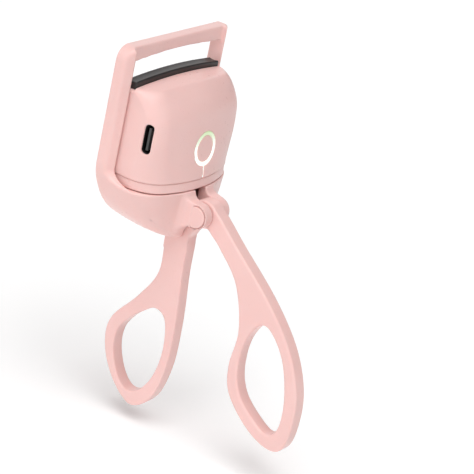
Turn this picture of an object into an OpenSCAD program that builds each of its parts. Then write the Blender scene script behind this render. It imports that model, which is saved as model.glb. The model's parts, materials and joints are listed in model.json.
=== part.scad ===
// Heated scissor-handled eyelash curler.
// The head slides up between the two posts of the jaw frame when the handles are squeezed.
// X runs across the jaws, Y from the button side to the back, Z up along the head's slide.

/* [Frame] */
// Width over the two posts
frame_w = 50; // [46:0.5:62]
// Height of the bar's top above the pivot axis
frame_h = 46.4; // [44:0.1:58]
// Distance from the pivot axis back to the frame's rear face
frame_rear = 24; // [23:0.5:30]
// Width of each post, seen from the front
post_w = 3; // [2.6:0.1:4]
// Depth of each post, front to back
post_d = 5; // [4.4:0.1:6.5]
// Thickness of the bar at its middle
bar_t = 3.4; // [2.2:0.1:4]
// Depth of the bar, front to back
bar_d = 3.6; // [3:0.1:4.4]
// Radius of the frame's top outer corner on the port side
frame_corner_r = 4.5; // [2:0.5:8]
// Radius of the frame's other top outer corner
far_corner_r = 1.2; // [0.5:0.1:8]
// Height of the bowl's rim above the pivot axis
rim_z = 6.2; // [5.6:0.1:8]
// Depth of the bowl below the pivot axis
bowl_depth = 9; // [8.2:0.1:10]
// Wall of the bowl
bowl_wall = 1.8; // [1.4:0.1:2.4]
// Backward lean of the bowl's front below the rim, in degrees
bowl_lean = 6; // [3:0.5:8]

/* [Head] */
// Distance from the pivot axis back to the head's front, at its foot
head_front = 3.4; // [3:0.1:5]
// Gap between the head's sides and the posts
side_gap = 0.7; // [0.3:0.1:1]
// Gap between the head and the rim below it, at rest
rim_gap = 0.2; // [0.1:0.05:0.4]
// Gap between the head's back and the frame's rear wall
rear_gap = 0.4; // [0.2:0.1:0.8]
// Wall of the head's shell
head_wall = 1.8; // [1.4:0.1:2.2]
// Radius of the head's upright front corners
head_corner_r = 10; // [8:0.5:12]
// Radius of the head's front arc, seen from above
front_arc_r = 42.5; // [38:0.5:60]
// Radius of the rounding between the head's front and its top
head_top_r = 9.5; // [8:0.5:11]
// Backward lean of the head's front face, in degrees
front_lean = 7; // [4:0.5:9]
// Height of the band that closes the head's foot
band_h = 2.8; // [2.4:0.1:3.6]

/* [Pad] */
// Open distance between the pad and the bar
lash_gap = 5.6; // [5.4:0.1:8]
// Thickness of the silicone pad
pad_t = 2.2; // [1.8:0.1:3]
// Depth of the pad, front to back
pad_d = 3.4; // [3:0.1:4]
// Height by which the pad stands above the head's top
pad_proud = 1.5; // [1:0.1:2]
// Radius of the arch of the pad's top and the bar's underside
arch_r = 220; // [160:5:400]

/* [Handles] */
// Thickness of both handles
handle_t = 4.7; // [4:0.1:6]
// Length of the rear handle below the pivot axis
handle_len = 66; // [60:1:80]
// Angle through which the front handle closes, in degrees
handle_swing = 19.7; // [16:0.1:22]
// Distance from the pivot axis to the drive pin
drive_arm = 15.6; // [14:0.1:16]
// Radius of the front handle's hub
hub_r = 4.2; // [3.8:0.1:4.6]

/* [Fits] */
// Radius of the pivot pin
pivot_r = 1.25; // [1:0.05:1.6]
// Radius of the drive pin
drive_r = 0.75; // [0.6:0.05:1]
// Radial clearance of a pin that turns or slides
pin_clear = 0.06; // [0.03:0.01:0.1]
// Side clearance between the front handle and the ears
ear_clear = 0.25; // [0.15:0.05:0.4]
// Thickness of each ear
ear_t = 3.6; // [3:0.1:4.5]
// Radius of the round end of each ear
ear_r = 3.75; // [3.6:0.05:4.4]
// Clearance around pieces that are fitted and stay still
seat_clear = 0.1; // [0.05:0.01:0.15]

/* [Button and port] */
// Height of the button's centre above the pivot axis
button_z = 18; // [17:0.1:20]
// Outer radius of the light ring
ring_r = 5.1; // [4.6:0.1:5.6]
// Width of the light ring's visible band
ring_w = 1.1; // [0.8:0.1:1.4]
// Travel of the button
button_travel = 0.3; // [0.2:0.05:0.4]
// Height of the charging port's centre above the pivot axis
port_z = 22.2; // [21:0.1:24]
// Distance from the pivot axis back to the charging port's centre
port_y = 11.4; // [10.8:0.1:12]
// Width of the charging port's metal shell
port_w = 8.9; // [8.9:0.1:9]
// Thickness of the charging port's metal shell
port_t = 3.1; // [3.1:0.1:3.2]

/* [Hidden] */
$fn = 64;
far = 200;

// Colours
pink = "#f0c9c1";
steel = "#b9bcc0";
black_plastic = "#2b2b2d";
board_green = "#2f6b4a";

// Frame, derived
post_in = frame_w / 2 - post_w;
post_front = frame_rear - post_d;
bar_under = frame_h - bar_t;
bar_front = frame_rear - bar_d;
ear_in = handle_t / 2 + ear_clear;
ear_out = ear_in + ear_t;
cap_recess = 0.5;
cap_t = 0.9;
cap_r = 3.2;
bowl_corner_r = head_corner_r + 6;
bowl_turn_z = 13;
rear_wall_z = 10;
rear_wall_y = frame_rear - bowl_wall + 0.2;
post_land = 0.6;
post_slant = 1.8;
post_bevel = 0.8;
weld = 0.5;
ear_root_y = head_front + 2;
ear_foot = [[ear_root_y, -5.2], [1.6, -3.4]];
spot_face_h = 3;
floor_top = bowl_wall - bowl_depth;
root_top = floor_top - 1;
root_front = head_front + 0.5;
root_lip = head_front + 3.4;
root_lip_top = -ear_r - 1.4;
root_flare = 2.3;
root_rear = head_front + 7.2;
root_low = -14;
root_inset = 0.01;
flare_low = -11;
flare_curve = [[0.4, -8.6], [0.8, -6.7]];
rail_w = 1.2;
rail_proud = 1.4;
rail_y = frame_rear - 2.8;
rail_play = 0.25;
rail_low = rim_z + 5;

// Head, derived
head_half = post_in - side_gap;
head_rear = rear_wall_y - rear_gap;
head_foot = rim_z + rim_gap;
shell_foot = head_foot + band_h;
pad_top = bar_under - lash_gap;
head_top = pad_top - pad_proud;
top_arc_z = head_top - head_top_r;
top_arc_y = head_front + (head_top_r + (top_arc_z - head_foot) * sin(front_lean)) / cos(front_lean);
band_inset = 0.25;
band_lip = 1.2;
band_floor = 1.6;
screw_sink = 1;
screw_short = 0.2;

// Pad and heater, derived: the stack goes down from the pad's top
pad_front = head_rear - pad_d;
pad_half = head_half - 1;
pad_foot = pad_top - pad_t;
plate_t = 1;
film_t = 0.4;
carrier_half = head_half - head_wall - 0.1;
carrier_h = 3;
film_foot = pad_foot - plate_t - film_t;
carrier_foot = film_foot - carrier_h;
heater_y = (pad_front + head_rear) / 2;
heater_half = carrier_half - 1.2;
heater_d = pad_d - 1.2;

// Screws
screw_r = 0.7;
screw_head_r = 1.5;
screw_head_h = 0.9;
screw_fit = 0.02;
boss_r = 2;
boss_h = 3.8;
boss_rear = [head_half - head_wall - 2.1, head_rear - head_wall - 1.9];
boss_front = [head_half - 7.8, head_front + 6.2];
boss_places = [boss_rear, [-boss_rear[0], boss_rear[1]], boss_front, [-boss_front[0], boss_front[1]]];
handle_screw_y = head_front + 5.6;
handle_screw_len = 5;

// Drive, derived: the drive pin swings evenly either side of the pivot's height
drive_y = drive_arm * cos(handle_swing / 2);
drive_z = -drive_arm * sin(handle_swing / 2);
arm_w = 4.4;
yoke_cheek = 1.9;
yoke_half = ear_in + yoke_cheek;
yoke_d = 5.6;
yoke_flange_half = yoke_half + 3.6;
yoke_flange_t = 1.6;
yoke_screw_x = yoke_half + 1.8;
slot_play = 0.6;
yoke_gap_top = 2;
yoke_screw_grip = 1.4;
drive_pin_half = yoke_half - 0.1;

// Electronics, derived
port_x = -(head_half - 0.9);
port_len = 7.3;
tongue_in = 0.3;
port_recess = 0.8;
mouth_lip = 0.25;
port_sheet = 0.3;
tongue_t = 0.7;
tongue_w = 6.6;
board_front = port_y + port_t / 2;
board_t = 1;
board_half = head_half - 3.8;
board_low = shell_foot + boss_h + 0.4;
board_high = head_top - 3.9;
foam_t = 0.8;
battery_half = head_half - 6.3;
battery_low = shell_foot + 1.3;
battery_high = carrier_foot - 0.3;
battery_front = board_front + board_t + foam_t;
battery_back_gap = 0.85;
battery_t = head_rear - head_wall - battery_back_gap - battery_front;
wire_r = 0.35;
wire_x = battery_half + 1.4;
wire_y = pad_front + 0.9;
bead_r = 0.45;
bead_len = 1.8;
bead_pocket = [2.2, 1.8, 2];
tab_half = 0.6;
foam_margin = [3, 4];
led_size = [0.8, 0.6, 0.8];
led_ring_r = 5;
board_hole_r = 0.8;
board_hole_in = [1.6, 1.8];

// Button, derived: depths run inwards from the head's front face
cap_gap = 0.1;
button_y = head_front + (button_z - head_foot) * tan(front_lean);
button_r = ring_r - ring_w - cap_gap;
guide_wall = 0.7;
flange_gap = 0.1;
flange_t = 0.6;
stem_end = 3.6;
stem_r = 1;
flange_proud = 0.5;
cut_start = 5;
boss_clear = 4;
line_w = 0.6;
line_gap = 0.2;
line_top = 4.6;
tube_in = button_r + 0.8;
tube_len = 3.4;
switch_z = button_z - stem_end * sin(front_lean);
plunger_front = button_y + stem_end * cos(front_lean) + 0.1;
plunger_r = 1.6;
plunger_len = 1.6;
switch_half = 3;
switch_front = plunger_front + 1;

// Handle outlines, in the plane across the pivot axis: distance back, height
rear_outer = [[3.6, -8], [2.6, -21], [1.4, -36], [1.6, -50], [4.7, -61.2], [11.2, -66], [18.6, -61],
    [23.6, -52], [23.6, -42.6], [15.8, -32], [10.5, -22], [10.4, -8]];
rear_hole = [[9, -33.5], [5.2, -36], [3.9, -45], [5.5, -54], [9.2, -60.2], [13.4, -62], [17.4, -58.8],
    [20.4, -52], [20.5, -45.6], [17.6, -40.4], [13, -36]];
front_outer = [[-1.6, 3], [-5.4, 1.4], [-13.4, -5.4], [-27, -16.7], [-36.8, -27.8], [-42, -39],
    [-43, -49], [-41.4, -57.2], [-36.4, -59.2], [-28.3, -55.8], [-20.6, -48.2], [-18.6, -40],
    [-19.3, -28.5], [-15.2, -15.8], [-7.6, -7.6], [-2.2, -3]];
front_hole = [[-26.2, -24.2], [-30.6, -25.6], [-35.6, -32.5], [-38.6, -43], [-38.6, -51.6],
    [-35.6, -55], [-30.6, -52.8], [-24.6, -47.6], [-21.9, -40.5], [-22.3, -31]];
handle_k = handle_len / 66;

// One point of a smooth curve between p1 and p2
function curve_point(p0, p1, p2, p3, t) =
    0.5 * (2 * p1 + (p2 - p0) * t + (2 * p0 - 5 * p1 + 4 * p2 - p3) * t * t
    + (3 * p1 - p0 - 3 * p2 + p3) * t * t * t);

// A smooth closed curve through the points, scaled with the handles' length
function smooth_loop(points, steps = 6) =
    let (n = len(points))
    [for (i = [0:n - 1], k = [0:steps - 1])
        handle_k * curve_point(points[(i + n - 1) % n], points[i], points[(i + 1) % n],
            points[(i + 2) % n], k / steps)];

function arc_points(cx, cy, r, from, to, steps = 10) =
    [for (i = [0:steps])
        let (a = from + (to - from) * i / steps)
        [cx + r * cos(a), cy + r * sin(a)]];

// Right half of an outline seen from above: a shallow front arc, a corner arc, a straight side
function plan_half(front_y, half_w, rear_y, corner_r, arc_r) =
    let (cx = half_w - corner_r)
    let (arc_y = front_y + arc_r)
    let (cy = arc_y - sqrt(pow(arc_r - corner_r, 2) - pow(cx, 2)))
    let (turn = asin(cx / (arc_r - corner_r)))
    concat(arc_points(0, arc_y, arc_r, -90, turn - 90, 8),
        [for (p = arc_points(cx, cy, corner_r, turn - 90, 0)) if (p[0] > arc_r * sin(turn) + 0.01) p],
        [[half_w, rear_y]]);

function both_sides(half) =
    concat(half, [for (i = [len(half) - 1:-1:1]) [-half[i][0], half[i][1]]]);

// The head's outline from above, moved inwards by inset
function head_plan(inset, rear_y) =
    both_sides(plan_half(head_front + inset, head_half - inset, rear_y, head_corner_r - inset,
        front_arc_r - inset));

// The head's outline from the side, moved inwards by inset
function head_side(inset, low, rear_y) =
    concat([[head_front + inset / cos(front_lean) + (low - head_foot) * tan(front_lean), low]],
        arc_points(top_arc_y, top_arc_z, head_top_r - inset, 180 - front_lean, 90),
        [[rear_y, head_top - inset], [rear_y, low]]);

// The frame's outline from the front, moved inwards by inset: square shoulders above, an oval below
function frame_front(inset) =
    let (half = frame_w / 2 - inset)
    let (r = far_corner_r)
    let (port_r = frame_corner_r)
    let (oval_h = bowl_turn_z + bowl_depth - inset)
    concat(arc_points(half - r, frame_h - inset - r, r, 0, 90, 8),
        arc_points(port_r - half, frame_h - inset - port_r, port_r, 90, 180, 8),
        [for (i = [0:32]) let (a = 180 + 180 * i / 32) [half * cos(a), bowl_turn_z + oval_h * sin(a)]]);

// A shallow arch across the jaws, its middle at height mid
function arch(half_w, mid, steps = 16) =
    [for (i = [0:steps])
        let (x = half_w * (2 * i / steps - 1))
        [x, mid - x * x / (2 * arch_r)]];

function reversed(list) = [for (i = [len(list) - 1:-1:0]) list[i]];

// Where the pivot axis stands when the row's origin is under the middle of the whole object
rear_outline = smooth_loop(rear_outer);
front_outline = smooth_loop(front_outer);
rearmost = max([for (p = rear_outline) p[0]]);
foremost = min([for (p = front_outline) p[0]]);
lowest = min([for (p = concat(rear_outline, front_outline)) p[1]]);
pivot_y = -(max(rearmost, frame_rear) + foremost) / 2;
pivot_z = -lowest;

module at_pivot() {
    translate([0, pivot_y, pivot_z]) children();
}

// A flat outline of (distance back, height), centred across the jaws
module across(width) {
    rotate([90, 0, 90]) linear_extrude(height = width, center = true) children();
}

// A flat outline of (across, height), from one distance back to another
module front_to_back(from, to) {
    translate([0, to, 0]) rotate([90, 0, 0]) linear_extrude(height = to - from) children();
}

// A round bar along X between two places
module x_rod(r, from, to) {
    translate([from, 0, 0]) rotate([0, 90, 0]) cylinder(r = r, h = to - from);
}

module block(low, high) {
    translate(low) cube(high - low);
}

module arched_slab(half_w, top, thickness, from, to) {
    front_to_back(from, to)
        polygon(concat(arch(half_w, top), reversed(arch(half_w, top - thickness))));
}

// A screw pointing up, its head's underside at the origin
module screw_up(length) {
    translate([0, 0, -screw_head_h]) cylinder(r = screw_head_r, h = screw_head_h);
    cylinder(r = screw_r, h = length);
}

// Along the button's axis: local Z runs into the head from the centre of its front face
module at_button() {
    at_pivot()
        translate([0, button_y, button_z]) rotate([-90 - front_lean, 0, 0]) rotate([0, 0, 180])
        children();
}

module slot_2d(length, width) {
    square([width, length - width], center = true);
    translate([0, (length - width) / 2]) circle(d = width);
    translate([0, (width - length) / 2]) circle(d = width);
}

// Along the port's axis: local Z runs into the head
module at_port() {
    at_pivot() translate([port_x, port_y, port_z]) rotate([90, 0, 90]) children();
}

// ---- Jaw frame and rear handle

module post_outline() {
    polygon([[post_in, frame_rear], [post_in, post_front], [post_in + post_land, post_front],
        [frame_w / 2, post_front + post_slant], [frame_w / 2, frame_rear - post_bevel],
        [frame_w / 2 - post_bevel, frame_rear]]);
}

module posts() {
    for (side = [0, 1]) mirror([side, 0, 0]) {
        translate([0, 0, -bowl_depth]) linear_extrude(height = frame_h + bowl_depth) post_outline();
        block([post_in - rail_proud, rail_y - rail_w / 2, rail_low],
            [post_in + weld, rail_y + rail_w / 2, head_top - 3]);
    }
}

module bar() {
    front_to_back(bar_front, frame_rear)
        polygon(concat([[post_in + 1, frame_h], [-post_in - 1, frame_h]], arch(post_in + 1, bar_under)));
}

module bowl_solid() {
    intersection() {
        translate([0, 0, -bowl_depth]) linear_extrude(height = bowl_depth + rim_z)
            polygon(both_sides(plan_half(head_front, frame_w / 2, frame_rear, bowl_corner_r,
                front_arc_r)));
        across(frame_w) polygon(bowl_side(0));
    }
    block([-post_in - weld, rear_wall_y, 0], [post_in + weld, frame_rear, rear_wall_z]);
}

// The bowl from the side, moved inwards by inset
function bowl_side(inset) =
    [[head_front + inset, far], [head_front + inset, rim_z],
        [head_front + inset + (rim_z + bowl_depth) * tan(bowl_lean), -bowl_depth],
        [far, -bowl_depth], [far, far]];

module bowl_hollow() {
    intersection() {
        across(frame_w) polygon(bowl_side(bowl_wall));
        translate([0, 0, -bowl_depth]) linear_extrude(height = far)
            polygon(head_plan(bowl_wall, rear_wall_y));
        front_to_back(0, far) polygon(frame_front(bowl_wall));
        block([-far, 0, -far], [far, far, rear_wall_z + 1]);
    }
}

module ear_outline() {
    circle(r = ear_r);
    polygon(concat([[0, ear_r], [ear_root_y, ear_r + 1]], ear_foot, [[0, -ear_r]]));
}

module ears() {
    for (side = [-1, 1]) translate([side * (ear_in + ear_t / 2), 0, 0]) across(ear_t) ear_outline();
}

module jaw_frame() {
    color(pink) at_pivot() difference() {
        union() {
            intersection() {
                union() {
                    posts();
                    bar();
                    bowl_solid();
                }
                front_to_back(0, frame_rear) polygon(frame_front(0));
            }
            ears();
        }
        bowl_hollow();
        block([-ear_in, -far, -far], [ear_in, root_lip + seat_clear, far / 4]);
        x_rod(pivot_r, -far, far);
        x_rod(cap_r + seat_clear, ear_out - cap_recess, far);
        x_rod(cap_r + seat_clear, -far, cap_recess - ear_out);
        rear_handle_seat();
        translate([0, handle_screw_y, -far / 2]) cylinder(r = screw_r + seat_clear, h = far);
        translate([0, handle_screw_y, floor_top])
            cylinder(r = screw_head_r + seat_clear, h = spot_face_h);
    }
}

module rear_handle_seat() {
    block([-handle_t / 2 - seat_clear, root_front - seat_clear, -far],
        [handle_t / 2 + seat_clear, root_rear + seat_clear, root_top]);
}

// The root's outline from the side, its front flaring out below the ears
module root_outline() {
    polygon(concat([[root_rear, root_low], [root_front, root_low], [root_front, flare_low]],
        [for (p = flare_curve) [root_front - p[0] * root_flare, p[1]]],
        [[root_front - root_flare, root_lip_top], [root_rear, root_lip_top]]));
}

module rear_handle() {
    color(pink) at_pivot() difference() {
        union() {
            across(handle_t) polygon(rear_outline);
            across(handle_t - 2 * root_inset) root_outline();
        }
        across(far) polygon(smooth_loop(rear_hole));
        across(far) translate([root_lip, root_top]) square([far, far]);
        across(far) translate([-far, root_lip_top]) square([2 * far, far]);
        translate([0, handle_screw_y, root_top - handle_screw_len])
            cylinder(r = screw_r + screw_fit, h = far);
    }
}

module handle_screw() {
    color(steel) at_pivot() translate([0, handle_screw_y, floor_top]) rotate([180, 0, 0])
        screw_up(handle_screw_len);
}

module pivot_pin() {
    color(steel) at_pivot() x_rod(pivot_r, cap_recess - ear_out, ear_out - cap_recess);
}

module pin_cap() {
    x_rod(cap_r, ear_out - cap_recess, ear_out - cap_recess + cap_t);
}

module pin_cap_left() {
    color(pink) at_pivot() mirror([1, 0, 0]) pin_cap();
}

module pin_cap_right() {
    color(pink) at_pivot() pin_cap();
}

// ---- Front handle

module arm_outline() {
    rotate(-handle_swing / 2)
        polygon(concat([[0, -arm_w / 2]], arc_points(drive_arm, 0, arm_w / 2, -90, 90), [[0, arm_w / 2]]));
}

module front_handle() {
    color(pink) at_pivot() difference() {
        across(handle_t) difference() {
            union() {
                polygon(front_outline);
                circle(r = hub_r);
                arm_outline();
            }
            polygon(smooth_loop(front_hole));
        }
        x_rod(pivot_r + pin_clear, -far, far);
        translate([0, drive_y, drive_z]) x_rod(drive_r, -far, far);
    }
}

module drive_pin() {
    color(steel) at_pivot() translate([0, drive_y, drive_z])
        x_rod(drive_r, -drive_pin_half, drive_pin_half);
}

// ---- Head

module head_outer(inset, low) {
    intersection() {
        translate([0, 0, low]) linear_extrude(height = far) polygon(head_plan(inset, head_rear - inset));
        across(frame_w) polygon(head_side(inset, low, head_rear - inset));
    }
}

module head_shell() {
    color(pink) difference() {
        union() {
            at_pivot() difference() {
                head_outer(0, shell_foot);
                head_outer(head_wall, shell_foot - 1);
            }
            at_pivot() intersection() {
                head_outer(0.5, shell_foot);
                for (p = boss_places) translate([p[0], p[1], shell_foot])
                    cylinder(r = boss_r, h = boss_h);
            }
        }
        at_pivot() {
            for (p = boss_places) translate([p[0], p[1], shell_foot - 1])
                cylinder(r = screw_r + screw_fit, h = boss_h);
            block([-carrier_half - seat_clear, pad_front - seat_clear, carrier_foot - seat_clear],
                [carrier_half + seat_clear, far, far]);
            arched_slab(frame_w / 2, pad_foot + far / 2, far / 2, pad_front - seat_clear, far);
            rail_grooves();
        }
        port_hole();
        at_button() translate([0, 0, -cut_start])
            cylinder(r = ring_r + seat_clear / 2, h = cut_start + boss_clear);
        light_line(seat_clear / 2);
    }
}

module rail_grooves() {
    for (side = [-1, 1]) translate([side * (post_in - rail_proud / 2), rail_y, 0])
        cube([rail_proud + 2 * rail_play, rail_w + 2 * rail_play, far], center = true);
}

// The port's opening: a narrow mouth in the skin, and room for the metal shell behind it
module port_hole() {
    at_port() translate([0, 0, -cut_start]) linear_extrude(height = cut_start + port_len)
        slot_2d(port_w, port_t - 2 * mouth_lip);
    intersection() {
        at_port() translate([0, 0, -cut_start]) linear_extrude(height = cut_start + port_len)
            slot_2d(port_w + 2 * seat_clear, port_t + 2 * seat_clear);
        at_pivot() head_outer(port_recess - seat_clear, shell_foot);
    }
}

module light_line(grow) {
    at_button()
        translate([-line_w / 2 - grow, shell_foot + line_gap - button_z - grow, -grow])
        cube([line_w + 2 * grow, button_z - shell_foot - line_top + 2 * grow, 1 + 2 * grow]);
}

module head_base() {
    color(pink) at_pivot() difference() {
        union() {
            intersection() {
                head_outer(band_inset, head_foot);
                block([-far, 0, 0], [far, far, shell_foot]);
            }
            intersection() {
                head_outer(head_wall + seat_clear, shell_foot);
                block([-far, 0, 0], [far, far, shell_foot + band_lip]);
            }
        }
        translate([0, 0, head_foot + band_floor]) linear_extrude(height = far)
            polygon(head_plan(head_wall + 1, head_rear - head_wall - 1));
        for (p = boss_places) translate([p[0], p[1], 0]) {
            cylinder(r = screw_r + seat_clear, h = far);
            translate([0, 0, head_foot - screw_sink])
                cylinder(r = screw_head_r + seat_clear, h = 2 * screw_sink);
            translate([0, 0, shell_foot]) cylinder(r = boss_r + seat_clear, h = far);
        }
        for (side = [-1, 1]) translate([side * yoke_screw_x, drive_y, 0])
            cylinder(r = screw_r + screw_fit, h = far);
        rail_grooves();
    }
}

module head_screws() {
    color(steel) at_pivot()
        for (p = boss_places) translate([p[0], p[1], head_foot + screw_sink])
            screw_up(band_h + boss_h - 2 * screw_sink - screw_short);
}

module lift_yoke() {
    color(pink) at_pivot() difference() {
        union() {
            block([-yoke_half, drive_y - yoke_d / 2, drive_z - arm_w / 2],
                [yoke_half, drive_y + yoke_d / 2, head_foot]);
            block([-yoke_flange_half, drive_y - yoke_d / 2, head_foot - yoke_flange_t],
                [yoke_flange_half, drive_y + yoke_d / 2, head_foot]);
        }
        block([-ear_in, -far, -far], [ear_in, far, yoke_gap_top]);
        translate([0, drive_y, drive_z]) across(far)
            rotate(90) slot_2d(2 * (drive_r + pin_clear) + slot_play, 2 * (drive_r + pin_clear));
        for (side = [-1, 1]) translate([side * yoke_screw_x, drive_y, 0])
            cylinder(r = screw_r + seat_clear, h = far);
    }
}

module yoke_screws() {
    color(steel) at_pivot()
        for (side = [-1, 1]) translate([side * yoke_screw_x, drive_y, head_foot - yoke_flange_t])
            screw_up(yoke_flange_t + yoke_screw_grip);
}

// ---- Pad and heater

module pad_carrier() {
    color(black_plastic) at_pivot() difference() {
        front_to_back(pad_front, head_rear)
            polygon(concat(arch(carrier_half, pad_foot),
                [[carrier_half, carrier_foot], [-carrier_half, carrier_foot]]));
        arched_slab(heater_half + seat_clear, pad_foot + far / 2, far / 2 + plate_t + film_t,
            heater_y - heater_d / 2 - seat_clear, heater_y + heater_d / 2 + seat_clear);
        translate([0, heater_y, film_foot]) cube(bead_pocket, center = true);
        for (side = [-1, 1]) translate([side * wire_x, wire_y, 0])
            cylinder(r = wire_r + seat_clear, h = far);
    }
}

module heating_pad() {
    color("#262628") at_pivot() arched_slab(pad_half, pad_top, pad_t, pad_front, head_rear);
}

module heater_plate() {
    color("#c9ccd0") at_pivot()
        arched_slab(heater_half, pad_foot, plate_t, heater_y - heater_d / 2, heater_y + heater_d / 2);
}

module heater_film() {
    color("#c8862c") at_pivot()
        arched_slab(heater_half, pad_foot - plate_t, film_t, heater_y - heater_d / 2,
            heater_y + heater_d / 2);
}

module thermistor() {
    color("#d8d2c2") at_pivot() translate([-bead_len / 2, heater_y, film_foot - bead_r - 0.05])
        rotate([0, 90, 0]) cylinder(r = bead_r, h = bead_len);
}

// A wire along Z and then Y, or along X and then Y, with a round elbow
module wire(from, corner, to) {
    translate(corner) sphere(r = wire_r);
    first = corner - from;
    if (abs(first[2]) > 0) block_rod(from, corner, [0, 0, 0]);
    else block_rod(from, corner, [0, 90, 0]);
    block_rod(to, corner, [-90, 0, 0]);
}

module block_rod(from, to, turn) {
    low = [min(from[0], to[0]), min(from[1], to[1]), min(from[2], to[2])];
    translate(low) rotate(turn) cylinder(r = wire_r, h = norm(to - from));
}

module heater_wires() {
    level = battery_high - 1;
    color("#b8332c") at_pivot()
        for (side = [-1, 1])
            wire([side * wire_x, wire_y, film_foot - 1.2], [side * wire_x, wire_y, level],
                [side * wire_x, board_front + board_t, level]);
}

// ---- Battery, board and port

module battery() {
    color("#c4c7cc") at_pivot() difference() {
        block([-battery_half, battery_front, battery_low],
            [battery_half, battery_front + battery_t, battery_high]);
        for (side = [-1, 1]) block([side * battery_half - tab_half, 0, battery_high - 1],
            [side * battery_half + tab_half, far, far]);
    }
}

module battery_foam() {
    color("#e9e4d6") at_pivot() block([foam_margin[0] - battery_half, board_front + board_t,
        battery_low + foam_margin[1]], [battery_half - foam_margin[0], battery_front,
        battery_high - foam_margin[1]]);
}

module battery_wires() {
    middle = (battery_low + battery_high) / 2;
    level = battery_front + battery_t / 2;
    color("#1d1d1f") at_pivot()
        for (up = [-1, 1])
            wire([battery_half, level, middle + up], [wire_x, level, middle + up],
                [wire_x, board_front + board_t, middle + up]);
}

module circuit_board() {
    color(board_green) at_pivot() difference() {
        block([-board_half, board_front, board_low], [board_half, board_front + board_t, board_high]);
        for (side = [-1, 1])
            translate([side * (board_half - board_hole_in[0]), 0, board_low + board_hole_in[1]])
            rotate([-90, 0, 0]) cylinder(r = board_hole_r, h = far);
    }
}

module board_chips() {
    color(black_plastic) at_pivot() {
        block([8, board_front - 1.5, 23], [12, board_front, 28]);
        block([9, board_front - 0.9, 15], [12, board_front, 18]);
        block([-6, board_front - 1.1, 26], [-3, board_front, 29]);
    }
}

module status_leds() {
    color("#eef2e2") at_pivot()
        for (a = [0:90:270])
            translate([led_ring_r * cos(a), board_front - led_size[1] / 2,
                switch_z + led_ring_r * sin(a)])
            cube(led_size, center = true);
}

module usb_shell() {
    color(steel) intersection() {
        at_port() difference() {
            linear_extrude(height = port_len) slot_2d(port_w, port_t);
            translate([0, 0, -1]) linear_extrude(height = port_len)
                slot_2d(port_w - 2 * port_sheet, port_t - 2 * port_sheet);
        }
        at_pivot() head_outer(port_recess, shell_foot);
    }
}

module usb_tongue() {
    color(black_plastic) at_port() translate([-tongue_t / 2, -tongue_w / 2, tongue_in])
        cube([tongue_t, tongue_w, port_len - 1 - tongue_in]);
}

// ---- Button

module tact_switch() {
    color(black_plastic) at_pivot() difference() {
        block([-switch_half, switch_front, switch_z - switch_half],
            [switch_half, board_front, switch_z + switch_half]);
        translate([0, 0, switch_z]) rotate([-90, 0, 0])
            cylinder(r = plunger_r + 0.1, h = plunger_front + plunger_len + button_travel + 0.2);
    }
}

module switch_plunger() {
    color("#c24a3a") at_pivot() translate([0, plunger_front, switch_z])
        rotate([-90, 0, 0]) cylinder(r = plunger_r, h = plunger_len);
}

module light_ring() {
    color("#eef6ee") {
        at_button() difference() {
            union() {
                cylinder(r = ring_r, h = head_wall);
                translate([0, 0, head_wall + 0.05])
                    cylinder(r = tube_in + guide_wall + flange_proud, h = flange_t);
                translate([0, 0, head_wall]) cylinder(r = tube_in + guide_wall, h = tube_len);
            }
            translate([0, 0, -1]) cylinder(r = ring_r - ring_w, h = far);
            translate([0, 0, head_wall]) cylinder(r = tube_in, h = far);
        }
        light_line(0);
    }
}

module button_cap() {
    color(pink) at_button() {
        translate([0, 0, cap_gap]) cylinder(r = button_r, h = head_wall);
        translate([0, 0, head_wall + flange_gap]) cylinder(r = button_r + flange_proud, h = flange_t);
        translate([0, 0, head_wall + flange_gap + flange_t - 0.1])
            cylinder(r = stem_r, h = stem_end - head_wall - flange_gap - flange_t + 0.1);
    }
}

jaw_frame();
rear_handle();
handle_screw();
pivot_pin();
pin_cap_left();
pin_cap_right();
front_handle();
drive_pin();
head_shell();
head_base();
head_screws();
lift_yoke();
yoke_screws();
pad_carrier();
heating_pad();
heater_plate();
heater_film();
thermistor();
heater_wires();
battery();
battery_foam();
battery_wires();
circuit_board();
board_chips();
status_leds();
usb_shell();
usb_tongue();
tact_switch();
switch_plunger();
light_ring();
button_cap();
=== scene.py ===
import json
import math

import bpy
import numpy as np
from mathutils import Matrix, Vector


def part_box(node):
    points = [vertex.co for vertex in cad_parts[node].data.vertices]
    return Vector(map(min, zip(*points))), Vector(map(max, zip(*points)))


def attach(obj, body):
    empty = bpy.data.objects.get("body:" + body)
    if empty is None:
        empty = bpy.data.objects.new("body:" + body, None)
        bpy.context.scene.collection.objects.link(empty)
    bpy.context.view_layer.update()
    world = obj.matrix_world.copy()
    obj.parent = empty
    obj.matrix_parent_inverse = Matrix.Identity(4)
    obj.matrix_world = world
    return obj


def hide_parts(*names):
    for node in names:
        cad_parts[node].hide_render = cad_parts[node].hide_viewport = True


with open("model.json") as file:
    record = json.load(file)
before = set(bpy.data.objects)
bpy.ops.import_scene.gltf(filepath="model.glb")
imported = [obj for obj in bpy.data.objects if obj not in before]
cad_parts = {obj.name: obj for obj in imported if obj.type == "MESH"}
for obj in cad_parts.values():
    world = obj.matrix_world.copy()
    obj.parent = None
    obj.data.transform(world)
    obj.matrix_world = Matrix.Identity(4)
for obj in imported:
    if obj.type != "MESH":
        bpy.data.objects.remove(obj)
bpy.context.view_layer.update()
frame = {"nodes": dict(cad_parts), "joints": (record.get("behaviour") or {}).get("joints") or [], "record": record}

# The visible shells are moulded plastic with soft edges, so each is written as a signed
# distance (negative inside) and meshed from it. Shapes are in millimetres, measured from the
# pivot axis: X across the jaws, Y from the button side to the back, Z up.

MM = 1000.0
FAR = 400.0
JOINTS = {joint["name"]: joint for joint in frame["joints"]}
PIVOT = np.array(JOINTS["handle_squeeze"]["pos_m"]) * MM


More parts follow.
